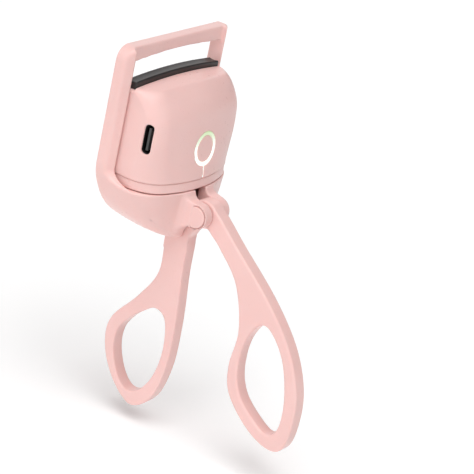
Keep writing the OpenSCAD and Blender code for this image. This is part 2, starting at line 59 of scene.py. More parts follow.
def node_box(node):
    """Lowest and highest corner of a CAD node, in millimetres from the pivot axis."""
    low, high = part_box(node)
    return np.array(low) * MM - PIVOT, np.array(high) * MM - PIVOT


FRAME_LOW, FRAME_HIGH = node_box("jaw_frame")
SHELL_LOW, SHELL_HIGH = node_box("head_shell")
BASE_LOW, BASE_HIGH = node_box("head_base")
PAD_LOW, PAD_HIGH = node_box("heating_pad")
PORT_LOW, PORT_HIGH = node_box("usb_shell")
REAR_LOW, REAR_HIGH = node_box("rear_handle")
HANDLE_LOW, HANDLE_HIGH = node_box("front_handle")
CAP_LOW, CAP_HIGH = node_box("pin_cap_right")
CARRIER_LOW, CARRIER_HIGH = node_box("pad_carrier")
RING_LOW, RING_HIGH = node_box("light_ring")
PIN_LOW, PIN_HIGH = node_box("drive_pin")

# Sizes that the CAD gives
FRAME_HALF = FRAME_HIGH[0]
FRAME_TOP = FRAME_HIGH[2]
FRAME_FOOT = FRAME_LOW[2]
FRAME_REAR = FRAME_HIGH[1]
HEAD_HALF = SHELL_HIGH[0]
HEAD_FRONT = 3.4
HEAD_REAR = SHELL_HIGH[1]
HEAD_FOOT = BASE_LOW[2]
SHELL_FOOT = SHELL_LOW[2]
PAD_TOP = PAD_HIGH[2]
PAD_HALF = PAD_HIGH[0]
PAD_FRONT = PAD_LOW[1]
HANDLE_HALF = HANDLE_HIGH[0]
CAP_R = CAP_HIGH[2]
DRIVE = (PIN_LOW[1:] + PIN_HIGH[1:]) / 2
DRIVE_R = (PIN_HIGH[2] - PIN_LOW[2]) / 2

# Sizes repeated from the CAD source
POST_W = 3.0
POST_D = 5.0
BAR_T = 3.4
BAR_D = 3.6
CORNER_R = 4.5
FAR_CORNER_R = 1.2
RIM_GAP = 0.2
RIM_Z = HEAD_FOOT - RIM_GAP
SIDE_GAP = 0.7
SEAT_CLEAR = 0.1
PIN_CLEAR = 0.06
BOWL_WALL = 1.8
BOWL_CORNER_R = 16.0
BOWL_LEAN = math.radians(6)
BOWL_TURN_Z = 13.0
REAR_WALL_Z = 10.0
REAR_WALL_Y = FRAME_REAR - BOWL_WALL + 0.2
EAR_R = 3.75
EAR_IN = 2.6
EAR_OUT = 6.2
CAP_RECESS = 0.5
PIN_R = 1.25
LEAN = math.radians(7)
ARC_R = 42.5
FLAT_ARC_R = 64.0
HEAD_CORNER_R = 10.0
TIGHT_CORNER_R = 7.0
HEAD_TOP_R = 9.5
TOP_REAR_R = 1.2
HEAD_WALL = 1.8
ARCH_R = 220.0
PAD_T = 2.2
PAD_PROUD = 1.5
HEAD_TOP = PAD_TOP - PAD_PROUD
BUTTON_Z = 18.0
RING_R = 5.1
RING_IN = 4.0
BUTTON_R = 3.9
HUB_R = 4.2
ARM_W = 4.4
SWING = math.radians(JOINTS["handle_squeeze"]["range_deg"][1])
RAIL_W = 1.2
RAIL_PROUD = 1.4
RAIL_Y = FRAME_REAR - 2.8
RAIL_PLAY = 0.25
RAIL_LOW = RIM_Z + 5
RAIL_HIGH = HEAD_TOP - 3
SLOT_REAR = HEAD_FRONT + 3.5
FLOOR_TOP = FRAME_FOOT + BOWL_WALL
ROOT_TOP = FLOOR_TOP - 1
ROOT_FRONT = HEAD_FRONT + 0.5
ROOT_LIP = HEAD_FRONT + 3.4
ROOT_REAR = HEAD_FRONT + 7.2
ROOT_FLARE = 2.3

# Sizes that only the visible shells have
PLAN_REAR_R = 0.6
HEAD_BULGE_D = 18.0
RIM_REACH = 10.0
RIM_RISE = 4.6
BOWL_MIDDLE_Y = 12.0
BOWL_BEND = 1.6
BOWL_DROP = 0.55
POST_FRONT = FRAME_REAR - POST_D
POST_IN = FRAME_HALF - POST_W
POST_SLANT = 1.8 / POST_W
CAP_GAP = 0.18
REAR_EDGE_R = 0.4
FRONT_EDGE_R = 0.55
SEAM = 0.3
PORT_RECESS = 0.8
MOUTH_LIP = 0.25
# Half width of the glowing hairline that paints a highlight line down the front
HIGHLIGHT_LINE_HALF = 0.11
DISH = 0.14
PAD_DIP = 0.18


# ---- Signed distances

def round_and(a, b, r):
    """Where both hold, with the edge between them rounded to radius r."""
    return np.minimum(np.maximum(a, b), -r) + np.hypot(np.maximum(a + r, 0), np.maximum(b + r, 0))


def round_or(a, b, r):
    """Where either holds, with a fillet of radius r between them."""
    return -round_and(-a, -b, r)


def cut(a, b, r):
    """a without b, its new edge rounded to radius r."""
    return round_and(a, -b, r)


def slab(v, low, high):
    """Between two levels of one coordinate."""
    return np.maximum(low - v, v - high)


def smooth_step(v, start, end):
    t = np.clip((v - start) / (end - start), 0, 1)
    return t * t * (3 - 2 * t)


def rounded_prism(flat, across, half, r):
    """A flat outline's distance, extruded to +-half along across, its edges rounded."""
    return round_and(flat, np.abs(across) - half, r)


def curve_point(p0, p1, p2, p3, t):
    return 0.5 * (2 * p1 + (p2 - p0) * t + (2 * p0 - 5 * p1 + 4 * p2 - p3) * t * t
                  + (3 * p1 - p0 - 3 * p2 + p3) * t ** 3)


def smooth_loop(points, steps=12):
    """A smooth closed curve through the points."""
    p = np.array(points, float)
    n = len(p)
    return np.array([curve_point(p[i - 1], p[i], p[(i + 1) % n], p[(i + 2) % n], k / steps)
                     for i in range(n) for k in range(steps)])


class Outline:
    """A closed outline's signed distance, kept on a fine grid and read between its points."""

    def __init__(self, points, step=0.2, margin=4.0):
        self.step = step
        self.low = points.min(0) - margin
        counts = np.ceil((points.max(0) + margin - self.low) / step).astype(int) + 1
        u = self.low[0] + step * np.arange(counts[0])
        v = self.low[1] + step * np.arange(counts[1])
        u, v = np.meshgrid(u, v, indexing="ij")
        nearest = np.full(u.shape, 1e9)
        inside = np.zeros(u.shape, bool)
        for a, b in zip(points, np.roll(points, -1, 0)):
            d = b - a
            t = np.clip(((u - a[0]) * d[0] + (v - a[1]) * d[1]) / (d @ d), 0, 1)
            gap = (u - a[0] - t * d[0]) ** 2 + (v - a[1] - t * d[1]) ** 2
            np.minimum(nearest, gap, out=nearest)
            if a[1] != b[1]:
                spans = (a[1] > v) != (b[1] > v)
                inside ^= spans & (u < (b[0] - a[0]) * (v - a[1]) / (b[1] - a[1]) + a[0])
        self.grid = np.where(inside, -1, 1) * np.sqrt(nearest)

    def __call__(self, u, v):
        shape = self.grid.shape
        fu = np.clip((u - self.low[0]) / self.step, 0, shape[0] - 1.001)
        fv = np.clip((v - self.low[1]) / self.step, 0, shape[1] - 1.001)
        iu, iv = fu.astype(int), fv.astype(int)
        fu, fv = fu - iu, fv - iv
        g = self.grid
        return ((g[iu, iv] * (1 - fu) + g[iu + 1, iv] * fu) * (1 - fv)
                + (g[iu, iv + 1] * (1 - fu) + g[iu + 1, iv + 1] * fu) * fv)


# ---- Meshing

def surface_net(values, low, step):
    """Vertices and quads of the zero surface of a grid of distances."""
    inside = values < 0
    shape = np.array(values.shape) - 1
    corners = [(i, j, k) for i in (0, 1) for j in (0, 1) for k in (0, 1)]

    def corner(grid, c):
        return grid[tuple(slice(o, o + n) for o, n in zip(c, shape))]

    any_in = np.zeros(shape, bool)
    all_in = np.ones(shape, bool)
    for c in corners:
        any_in |= corner(inside, c)
        all_in &= corner(inside, c)
    cells = np.argwhere(any_in & ~all_in)
    index = np.full(shape, -1)
    index[tuple(cells.T)] = np.arange(len(cells))
    total = np.zeros((len(cells), 3))
    count = np.zeros(len(cells))
    for axis in range(3):
        for c in corners:
            if c[axis]:
                continue
            end = tuple(1 if i == axis else c[i] for i in range(3))
            a = values[tuple((cells + c).T)]
            b = values[tuple((cells + end).T)]
            crossed = (a < 0) != (b < 0)
            t = np.where(crossed, a / np.where(crossed, a - b, 1), 0)
            point = np.tile(np.array(c, float), (len(cells), 1))
            point[:, axis] += t
            total[crossed] += point[crossed]
            count += crossed
    vertices = low + step * (cells + total / count[:, None])
    quads = []
    for axis in range(3):
        u, v = (axis + 1) % 3, (axis + 2) % 3
        start = [slice(1, n) for n in shape]
        start[axis] = slice(0, shape[axis])
        end = list(start)
        end[axis] = slice(1, shape[axis] + 1)
        a, b = inside[tuple(start)], inside[tuple(end)]
        for flip in (False, True):
            edges = np.argwhere((a & ~b) if not flip else (b & ~a))
            offset = np.ones(3, int)
            offset[axis] = 0
            edges = edges + offset
            ring = []
            for du, dv in ((0, 0), (-1, 0), (-1, -1), (0, -1)):
                cell = edges.copy()
                cell[:, u] += du
                cell[:, v] += dv
                ring.append(index[tuple(cell.T)])
            ring = np.stack(ring if not flip else ring[::-1], 1)
            quads.append(ring)
    return vertices, np.concatenate(quads)


def gradient(shape, p, h=0.02):
    out = np.empty_like(p)
    for axis in range(3):
        step = np.zeros(3)
        step[axis] = h
        ahead, behind = p + step, p - step
        out[:, axis] = (shape(*ahead.T) - shape(*behind.T)) / (2 * h)
    return out


def mesh_piece(name, shape, low, high, step, body, slot_name, material, replaced):
    """A piece made from a signed distance, riding on a body and standing for CAD nodes."""
    low, high = np.array(low, float) - 1.01 * step, np.array(high, float) + 1.3 * step
    counts = np.ceil((high - low) / step).astype(int) + 1
    axes = [low[i] + step * np.arange(counts[i]) for i in range(3)]
    values = np.empty(counts)
    chunk = 24
    for i in range(0, counts[0], chunk):
        x, y, z = np.meshgrid(axes[0][i:i + chunk], axes[1], axes[2], indexing="ij")
        values[i:i + chunk] = shape(x, y, z)
    vertices, quads = surface_net(values, low, step)
    for _ in range(3):
        slope = gradient(shape, vertices)
        gap = shape(*vertices.T)
        move = slope * (gap / np.maximum((slope ** 2).sum(1), 0.25))[:, None]
        length = np.linalg.norm(move, axis=1, keepdims=True)
        vertices = vertices - move * np.minimum(1, 0.5 * step / np.maximum(length, 1e-9))
    return add_mesh(name, vertices, quads, body, material, replaced)


def add_mesh(name, vertices, faces, body, material, replaced=()):
    data = bpy.data.meshes.new(name)
    data.from_pydata(((np.asarray(vertices) + PIVOT) / MM).tolist(), [],
                     [tuple(map(int, f)) for f in faces])
    data.update()
    data.polygons.foreach_set("use_smooth", np.ones(len(data.polygons), bool))
    piece = bpy.data.objects.new(name, data)
    bpy.context.scene.collection.objects.link(piece)
    data.materials.append(material)
    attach(piece, body)
    if replaced:
        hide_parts(*replaced)
    return piece


# ---- Materials

def new_material(name):
    material = bpy.data.materials.new(name)
    material.use_nodes = True
    tree = material.node_tree
    return material, tree, tree.nodes["Principled BSDF"]


def noise(tree, scale, detail=2.0, roughness=0.5):
    where = tree.nodes.new("ShaderNodeTexCoord")
    texture = tree.nodes.new("ShaderNodeTexNoise")
    texture.inputs["Scale"].default_value = scale
    texture.inputs["Detail"].default_value = detail
    texture.inputs["Roughness"].default_value = roughness
    tree.links.new(where.outputs["Object"], texture.inputs["Vector"])
    return texture.outputs["Fac"]


def ramp(tree, factor, low, high, start=0.35, end=0.65):
    """Between two colours or greys, following a factor."""
    node = tree.nodes.new("ShaderNodeValToRGB")
    node.color_ramp.elements[0].position = start
    node.color_ramp.elements[1].position = end
    node.color_ramp.elements[0].color = low
    node.color_ramp.elements[1].color = high
    tree.links.new(factor, node.inputs["Fac"])
    return node.outputs["Color"]


def grey(value):
    return (value, value, value, 1.0)


def srgb(red, green, blue):
    """A colour given as 0-255 display values, in linear light."""
    def linear(c):
        c = c / 255
        return c / 12.92 if c <= 0.04045 else ((c + 0.055) / 1.055) ** 2.4
    return tuple(linear(c) for c in (red, green, blue)) + (1.0,)


def add_bump(tree, shader, factor, strength, distance):
    bump = tree.nodes.new("ShaderNodeBump")
    bump.inputs["Strength"].default_value = strength
    bump.inputs["Distance"].default_value = distance
    tree.links.new(factor, bump.inputs["Height"])
    tree.links.new(bump.outputs["Normal"], shader.inputs["Normal"])


def surface(name, dark, light, rough, blotch=120, grain=2500, bump=0.15, depth=0.00002,
            metallic=0.0, coat=0.0, ior=1.46):
    """A moulded, rolled or printed finish: blotches of colour, and a fine grain in
    roughness and bump."""
    material, tree, shader = new_material(name)
    tree.links.new(ramp(tree, noise(tree, blotch, 3), dark, light),
                   shader.inputs["Base Color"])
    fine = noise(tree, grain, 3, 0.6)
    tree.links.new(ramp(tree, fine, grey(rough[0]), grey(rough[1]), 0.3, 0.7),
                   shader.inputs["Roughness"])
    add_bump(tree, shader, fine, bump, depth)
    shader.inputs["Metallic"].default_value = metallic
    shader.inputs["IOR"].default_value = ior
    shader.inputs["Coat Weight"].default_value = coat
    shader.inputs["Coat Roughness"].default_value = 0.1
    return material


def pink_plastic():
    """Glossy injection-moulded plastic: pale, a little light passing under its skin."""
    material = surface("pink_plastic", srgb(243, 201, 196), srgb(245, 204, 199),
                       (0.27, 0.31), blotch=60, grain=900, bump=0.02, depth=0.000004,
                       coat=0.06)
    shader = material.node_tree.nodes["Principled BSDF"]
    shader.inputs["Specular IOR Level"].default_value = 0.22
    shader.inputs["Subsurface Weight"].default_value = 0.12
    shader.inputs["Subsurface Radius"].default_value = (1.0, 0.45, 0.35)
    shader.inputs["Subsurface Scale"].default_value = 0.0015
    return material


PINK = pink_plastic()
MATERIALS = {
    "pink_plastic": PINK,
    "black_silicone": surface("black_silicone", grey(0.022), grey(0.03), (0.36, 0.46),
                              grain=3500, bump=0.2, depth=0.00002, ior=1.5),
    "black_plastic": surface("black_plastic", grey(0.012), grey(0.02), (0.38, 0.5)),
    # The tongue's grey is lighter than its black plastic: a painted highlight, for the light it barely catches
    # deep in the port
    "tongue_plastic": surface("tongue_plastic", grey(0.05), grey(0.07), (0.35, 0.45)),
    "steel": surface("steel", grey(0.5), grey(0.58), (0.24, 0.36), metallic=1.0, bump=0.1),
    "port_steel": surface("port_steel", grey(0.02), grey(0.035), (0.3, 0.42), metallic=0.7),
    "aluminium": surface("aluminium", grey(0.62), grey(0.7), (0.3, 0.42), metallic=1.0),
    "polyimide": surface("polyimide", srgb(170, 96, 22), srgb(196, 122, 36), (0.2, 0.3)),
    "bead_epoxy": surface("bead_epoxy", srgb(190, 180, 150), srgb(206, 198, 172), (0.2, 0.35)),
    "red_wire": surface("red_wire", srgb(150, 20, 18), srgb(172, 30, 26), (0.35, 0.45)),
    "black_wire": surface("black_wire", grey(0.012), grey(0.02), (0.35, 0.45)),
    "battery_foil": surface("battery_foil", grey(0.45), grey(0.55), (0.25, 0.45), blotch=400,
                            grain=900, bump=0.3, depth=0.00005, metallic=1.0),
    "foam": surface("foam", srgb(214, 208, 190), srgb(230, 224, 208), (0.85, 0.95), grain=3000,
                    bump=0.7, depth=0.0001),
    "board": surface("board", srgb(20, 82, 50), srgb(28, 98, 60), (0.3, 0.42), blotch=900),
    "led_lens": surface("led_lens", srgb(226, 230, 205), srgb(236, 240, 220), (0.2, 0.3)),
    "switch_plastic": surface("switch_plastic", srgb(150, 50, 40), srgb(168, 62, 50),
                              (0.35, 0.45)),
}


def light_guide():
    """A milky guide lit from behind: white below, shading to green towards its top. It also makes the glowing
    hairline below the ring, a painted highlight line.
    """
    material, tree, shader = new_material("light_guide")
    where = tree.nodes.new("ShaderNodeTexCoord")
    split = tree.nodes.new("ShaderNodeSeparateXYZ")
    span = tree.nodes.new("ShaderNodeMapRange")
    centre = (BUTTON_Z + PIVOT[2]) / MM
    span.inputs["From Min"].default_value = centre - RING_R / MM
    span.inputs["From Max"].default_value = centre + RING_R / MM
    tree.links.new(where.outputs["Object"], split.inputs["Vector"])
    tree.links.new(split.outputs["Z"], span.inputs["Value"])
    glow = ramp(tree, span.outputs["Result"], srgb(246, 255, 248), srgb(186, 205, 160), 0.45, 1.0)
    tree.links.new(glow, shader.inputs["Base Color"])
    tree.links.new(glow, shader.inputs["Emission Color"])
    fine = noise(tree, 1500, 2)
    tree.links.new(ramp(tree, fine, grey(0.3), grey(0.38)), shader.inputs["Roughness"])
    shader.inputs["Emission Strength"].default_value = 0.45
    return material


MATERIALS["light_guide"] = light_guide()


# ---- Shapes shared by several pieces

def arch_z(x, middle):
    return middle - x * x / (2 * ARCH_R)


def plan(x, y, front, half, rear, corner, arc):
    """A head-like outline from above: a shallow front arc, round corners, a flat rear."""
    centre_x = half - corner
    arc_y = front + arc
    centre_y = arc_y - np.sqrt((arc - corner) ** 2 - centre_x ** 2)
    ax = np.abs(x)
    by_arc = np.hypot(x, y - arc_y) - arc
    by_corner = np.hypot(ax - centre_x, y - centre_y) - corner
    # The corner arc takes over outside the line from the arc's centre through its own
    side = (ax * (arc_y - centre_y) - centre_x * (arc_y - y)) > 0
    d = np.where(y > centre_y, ax - half, np.where(side, by_corner, by_arc))
    return round_and(d, y - rear, PLAN_REAR_R)


def lean_shift(z):
    return (z - HEAD_FOOT) * math.tan(LEAN)


def head_solid(x, y, z, inset=0.0):
    """The head's outside, from its leaning front to its arched top. Towards the top the
    front is flatter and its corners are tighter."""
    up = smooth_step(z, SHELL_FOOT, SHELL_FOOT + 14)
    y_upright = y - lean_shift(z) * np.clip(1 - (y - HEAD_FRONT) / HEAD_BULGE_D, 0, 1)
    sides = plan(x, y_upright, HEAD_FRONT, HEAD_HALF, HEAD_REAR,
                 HEAD_CORNER_R + (TIGHT_CORNER_R - HEAD_CORNER_R) * up,
                 ARC_R + (FLAT_ARC_R - ARC_R) * up)
    r = HEAD_TOP_R + (TOP_REAR_R - HEAD_TOP_R) * smooth_step(y, 9.0, 18.5)
    top = z - arch_z(x, HEAD_TOP)
    return round_and(sides + inset, top + inset, np.maximum(r - inset, 0.4))


def button_frame(x, y, z):
    """Radius from the button's axis, and depth into the head from its front face."""
    front_y = HEAD_FRONT + lean_shift(BUTTON_Z)
    dy, dz = y - front_y, z - BUTTON_Z
    depth = dy * math.cos(LEAN) - dz * math.sin(LEAN)
    up = dy * math.sin(LEAN) + dz * math.cos(LEAN)
    return np.hypot(x, up), depth, up


# ---- Jaw frame

def jaw_outline(x, z, inset=0.0, lift=0.0):
    """Square shoulders above an oval foot, seen from the front. Lift raises the foot."""
    half = FRAME_HALF - inset
    ax = np.abs(x)
    oval_h = BOWL_TURN_Z - FRAME_FOOT - inset - lift
    k = np.hypot(ax / half, (z - BOWL_TURN_Z) / oval_h)
    grad = np.hypot(ax / half ** 2, (z - BOWL_TURN_Z) / oval_h ** 2)
    oval = (k - 1) * k / np.maximum(grad, 1e-6)
    corner_r = np.where(x < 0, CORNER_R, FAR_CORNER_R)
    shoulders = round_and(ax - half, z - FRAME_TOP + inset, corner_r)
    return np.where(z < BOWL_TURN_Z, np.maximum(oval, -half), shoulders)


def bowl_front(x, y, z):
    """The bowl's outside from above; its front leans back below the rim."""
    lean = np.maximum(RIM_Z - z, 0) * math.tan(BOWL_LEAN)
    upright = y - lean * np.clip(1 - (y - HEAD_FRONT) / BOWL_CORNER_R, 0, 1)
    return plan(x, upright, HEAD_FRONT, FRAME_HALF, FRAME_REAR + 10, BOWL_CORNER_R, ARC_R)


def bowl_lift(y):
    """The bowl's underside is deepest midway between its front and its rear."""
    return BOWL_BEND * (y / BOWL_MIDDLE_Y - 1) ** 2 - BOWL_DROP


# From the side: the level rim, its sweep up to the post, and the post's front
RIM_EDGE = Outline(np.concatenate([
    [[-12, RIM_Z]],
    [[POST_FRONT - RIM_REACH + RIM_REACH * math.sin(a), RIM_Z + RIM_RISE * (1 - math.cos(a))]
     for a in np.linspace(0, math.pi / 2, 25)],
    [[POST_FRONT, 60], [40, 60], [40, -20], [-12, -20]]]), 0.15)


# An ear from the side: round about the pivot, and joined to the bowl behind it
EAR_SHAPE = Outline(np.concatenate([
    [[EAR_R * math.sin(a), EAR_R * math.cos(a)]
     for a in np.linspace(math.radians(-150), 0, 40)],
    [[HEAD_FRONT + 2, EAR_R + 0.9], [HEAD_FRONT + 2, -5.2], [1.6, -3.4], [0, -EAR_R]]]), 0.1)


def jaw_shape(x, y, z):
    ax = np.abs(x)
    # The foot's front edge is sharp beside the handles and softer towards the sides
    blend = 0.4 + 4.0 * (1 - smooth_step(z, RIM_Z - 4, RIM_Z + 3)) * smooth_step(ax, 5, 16)
    outside = round_and(jaw_outline(x, z, 0.0, bowl_lift(y)), bowl_front(x, y, z), blend)
    outside = round_and(outside, FRAME_FOOT + 0.02 - z, 0.4)
    rear_r = 0.45 + 1.2 * (1 - smooth_step(z, -2, 12))
    body = round_and(outside, y - FRAME_REAR, rear_r)
    side = RIM_EDGE(y - np.maximum(ax - POST_IN, 0) * POST_SLANT, z)
    edge_r = 0.25 + 0.75 * smooth_step(y, 8, 15)
    body = round_and(body, side, edge_r)
    # The hollow that the head sits in
    hollow = plan(x, y, HEAD_FRONT + BOWL_WALL, HEAD_HALF + SIDE_GAP - BOWL_WALL,
                  REAR_WALL_Y, HEAD_CORNER_R - BOWL_WALL, ARC_R - BOWL_WALL)
    hollow = np.maximum(hollow, jaw_outline(x, z, BOWL_WALL))
    body = cut(body, np.maximum(hollow, z - REAR_WALL_Z), 0.25)
    # The head's way up between the posts, below the bar and in front of the rear wall
    bar = np.maximum(arch_z(x, FRAME_TOP - BAR_T) - z, FRAME_REAR - BAR_D - y)
    rear_wall = np.maximum(REAR_WALL_Y - y, z - REAR_WALL_Z)
    way = round_and(ax - POST_IN, -bar, 0.9)
    way = round_and(way, -rear_wall, 0.3)
    body = cut(body, np.maximum(way, RIM_Z - z), 0.4)
    # Rails that guide the head
    rail = np.maximum(np.abs(y - RAIL_Y) - RAIL_W / 2, POST_IN - RAIL_PROUD - ax)
    rail = np.maximum(rail, ax - POST_IN - 0.5)
    rail = np.maximum(rail, slab(z, RAIL_LOW, RAIL_HIGH))
    body = round_or(body, rail, 0.1)
    # Two ears hold the pivot pin
    ear = EAR_SHAPE(y, z)
    swell = (CAP_HIGH[0] - EAR_OUT + 0.05) * smooth_step(y, -1.4, 1.6)
    ear = round_and(ear, np.maximum(ax - EAR_OUT - swell, EAR_IN - ax), 0.4)
    body = round_or(body, ear, 2.2)
    # The slot for the front handle
    slot = np.maximum(ax - EAR_IN, y - SLOT_REAR)
    body = cut(body, slot, 0.3)
    # The rear handle's seat, the pin's bore and the caps' recesses
    seat = np.maximum(ax - HANDLE_HALF - SEAT_CLEAR,
                      slab(y, ROOT_FRONT - SEAT_CLEAR, ROOT_REAR + SEAT_CLEAR))
    seat = np.maximum(seat, z - ROOT_TOP)
    body = cut(body, seat, 0.12)
    radius = np.hypot(y, z)
    body = cut(body, radius - PIN_R, 0.02)
    recess = np.maximum(radius - CAP_R - CAP_GAP, EAR_OUT - CAP_RECESS - ax)
    recess = np.maximum(recess, y - 0.9)
    return cut(body, recess, 0.12)


# ---- Handles

REAR_OUTER = [[3.6, -8], [2.6, -21], [1.4, -36], [1.6, -50], [4.7, -61.2], [11.2, -66],
              [18.6, -61], [23.6, -52], [23.6, -42.6], [15.8, -32], [10.5, -22], [10.4, -8]]
REAR_HOLE = [[9, -33.5], [5.2, -36], [3.9, -45], [5.5, -54], [9.2, -60.2], [13.4, -62],
             [17.4, -58.8], [20.4, -52], [20.5, -45.6], [17.6, -40.4], [13, -36]]
FRONT_OUTER = [[-1.6, 3], [-5.4, 1.4], [-13.4, -5.4], [-27, -16.7], [-36.8, -27.8], [-42, -39],
               [-43, -49], [-41.4, -57.2], [-36.4, -59.2], [-28.3, -55.8], [-20.6, -48.2],
               [-18.6, -40], [-19.3, -28.5], [-15.2, -15.8], [-7.6, -7.6], [-2.2, -3]]
FRONT_HOLE = [[-26.2, -24.2], [-30.6, -25.6], [-35.6, -32.5], [-38.6, -43], [-38.6, -51.6],
              [-35.6, -55], [-30.6, -52.8], [-24.6, -47.6], [-21.9, -40.5], [-22.3, -31]]
REAR_EDGE = Outline(smooth_loop(REAR_OUTER))
REAR_GAP = Outline(smooth_loop(REAR_HOLE))
FRONT_EDGE = Outline(smooth_loop(FRONT_OUTER))
FRONT_GAP = Outline(smooth_loop(FRONT_HOLE))
# The rear handle's root, which flares out below the ears
ROOT_EDGE = Outline(np.array([
    [ROOT_FRONT, -14], [ROOT_FRONT, -10.5], [ROOT_FRONT - 0.4 * ROOT_FLARE, -8.4],
    [ROOT_FRONT - 0.8 * ROOT_FLARE, -6.5], [ROOT_FRONT - ROOT_FLARE, REAR_HIGH[2]],
    [ROOT_LIP, REAR_HIGH[2]], [ROOT_LIP, ROOT_TOP], [ROOT_REAR, ROOT_TOP], [ROOT_REAR, -14]]), 0.1)


def rear_shape(x, y, z):
    flat = np.maximum(REAR_EDGE(y, z), z - FRAME_FOOT)
    flat = round_or(flat, ROOT_EDGE(y, z), 0.8)
    flat = np.maximum(flat, -REAR_GAP(y, z))
    return rounded_prism(flat, x, HANDLE_HALF, REAR_EDGE_R)


def front_shape(x, y, z):
    flat = round_or(FRONT_EDGE(y, z), np.hypot(y, z) - HUB_R, 1.0)
    c, s = math.cos(SWING / 2), -math.sin(SWING / 2)
    along, off = y * c + z * s, -y * s + z * c
    reach = math.hypot(*DRIVE)
    arm = np.hypot(along - np.clip(along, 0, reach), off) - ARM_W / 2
    flat = np.minimum(flat, arm)
    flat = np.maximum(flat, -FRONT_GAP(y, z))
    body = rounded_prism(flat, x, HANDLE_HALF, FRONT_EDGE_R)
    body = cut(body, np.hypot(y, z) - PIN_R - PIN_CLEAR, 0.02)
    return cut(body, np.hypot(y - DRIVE[0], z - DRIVE[1]) - DRIVE_R, 0.02)


# ---- Head

def port_flat(y, z, grow=0.0, narrower=0.0):
    """The port's slot with round ends, standing upright."""
    middle = (PORT_LOW + PORT_HIGH) / 2
    half_t = (PORT_HIGH[1] - PORT_LOW[1]) / 2 - narrower
    run = (PORT_HIGH[2] - PORT_LOW[2]) / 2 - half_t
    up = z - middle[2]
    return np.hypot(y - middle[1], up - np.clip(up, -run, run)) - half_t - grow


def rail_groove(ax, y):
    """Room in the head's side for one of the frame's rails."""
    return np.maximum(POST_IN - RAIL_PROUD - RAIL_PLAY - ax,
                      np.abs(y - RAIL_Y) - RAIL_W / 2 - RAIL_PLAY)


def shell_shape(x, y, z):
    outside = head_solid(x, y, z)
    body = round_and(outside, SHELL_FOOT - z, SEAM)
    inner = np.maximum(head_solid(x, y, z, HEAD_WALL), SHELL_FOOT - 1 - z)
    body = np.maximum(body, -inner)
    ax = np.abs(x)
    # The pad's seat, open at the top and the rear
    seat = np.maximum(PAD_FRONT - 0.12 - y, arch_z(x, PAD_TOP - PAD_T) - z)
    body = cut(body, seat, 0.25)
    carrier = np.maximum(ax - CARRIER_HIGH[0] - SEAT_CLEAR,
                         np.maximum(PAD_FRONT - SEAT_CLEAR - y, CARRIER_LOW[2] - SEAT_CLEAR - z))
    body = cut(body, carrier, 0.05)
    body = cut(body, rail_groove(ax, y), 0.1)
    mouth = port_flat(y, z, 0.0, MOUTH_LIP)
    room = np.maximum(port_flat(y, z, 0.02), head_solid(x, y, z, PORT_RECESS - 0.02))
    body = cut(body, np.maximum(mouth, x), 0.1)
    body = np.maximum(body, -np.maximum(room, x))
    radius, depth, up = button_frame(x, y, z)
    hole = np.maximum(radius - RING_R - 0.03, depth - 9)
    body = cut(body, hole, 0.06)
    # Room in the shell for the glowing hairline, a painted highlight line down the front
    return np.maximum(body, -painted_highlight_line(x, depth, up, 0.04))


def port_shape(x, y, z):
    """The port's formed shell, its mouth set behind the head's skin."""
    tube = round_and(port_flat(y, z), head_solid(x, y, z, PORT_RECESS), 0.1)
    tube = np.maximum(tube, x - PORT_HIGH[0])
    hollow = np.maximum(port_flat(y, z, -0.3), x - PORT_HIGH[0] + 1)
    return np.maximum(tube, -hollow)


def painted_highlight_line(x, depth, up, grow):
    """A glowing hairline below the ring, down to the seam: a painted highlight line, drawn in the light guide's
    glow.
    """
    low = -(BUTTON_Z - SHELL_FOOT) / math.cos(LEAN) + 0.3
    line = np.maximum(np.abs(x) - HIGHLIGHT_LINE_HALF - grow, slab(up, low - grow, -RING_R + 0.4 + grow))
    return np.maximum(line, slab(depth, -2 * FAR, 0.8 + grow))


def base_shape(x, y, z):
    """The band that closes the head's foot, a hair inside the shell's face."""
    body = round_and(head_solid(x, y, z, 0.25), slab(z, HEAD_FOOT, SHELL_FOOT), 0.3)
    inner = np.maximum(head_solid(x, y, z, HEAD_WALL + 1), HEAD_FOOT + 1.6 - z)
    lip = np.maximum(head_solid(x, y, z, HEAD_WALL + SEAT_CLEAR),
                     slab(z, HEAD_FOOT + 1, BASE_HIGH[2]))
    body = np.minimum(body, lip)
    return cut(np.maximum(body, -inner), rail_groove(np.abs(x), y), 0.1)


def ring_shape(x, y, z):
    radius, depth, up = button_frame(x, y, z)
    skin = head_solid(x, y, z, 0.04)
    ring = round_and(np.abs(radius - (RING_R + RING_IN) / 2) - (RING_R - RING_IN) / 2, skin, 0.15)
    ring = np.maximum(ring, depth - HEAD_WALL)
    # The glowing hairline below the ring is a painted highlight line
    line = np.maximum(painted_highlight_line(x, depth, up, 0.0), skin)
    return np.minimum(ring, line)


def button_shape(x, y, z):
    radius, depth, _ = button_frame(x, y, z)
    # The cap's face dips slightly, so a fingertip finds it
    dish = DISH * np.maximum(1 - (radius / BUTTON_R) ** 2, 0)
    skin = head_solid(x, y, z, 0.08) + dish
    disc = round_and(radius - BUTTON_R + 0.02, skin, 0.3)
    disc = np.maximum(disc, depth - HEAD_WALL)
    flange = np.maximum(radius - BUTTON_R - 0.5, slab(depth, HEAD_WALL + 0.1, HEAD_WALL + 0.7))
    stem = np.maximum(radius - 1, slab(depth, 0.5, 3.6))
    return np.minimum(np.minimum(disc, flange), stem)


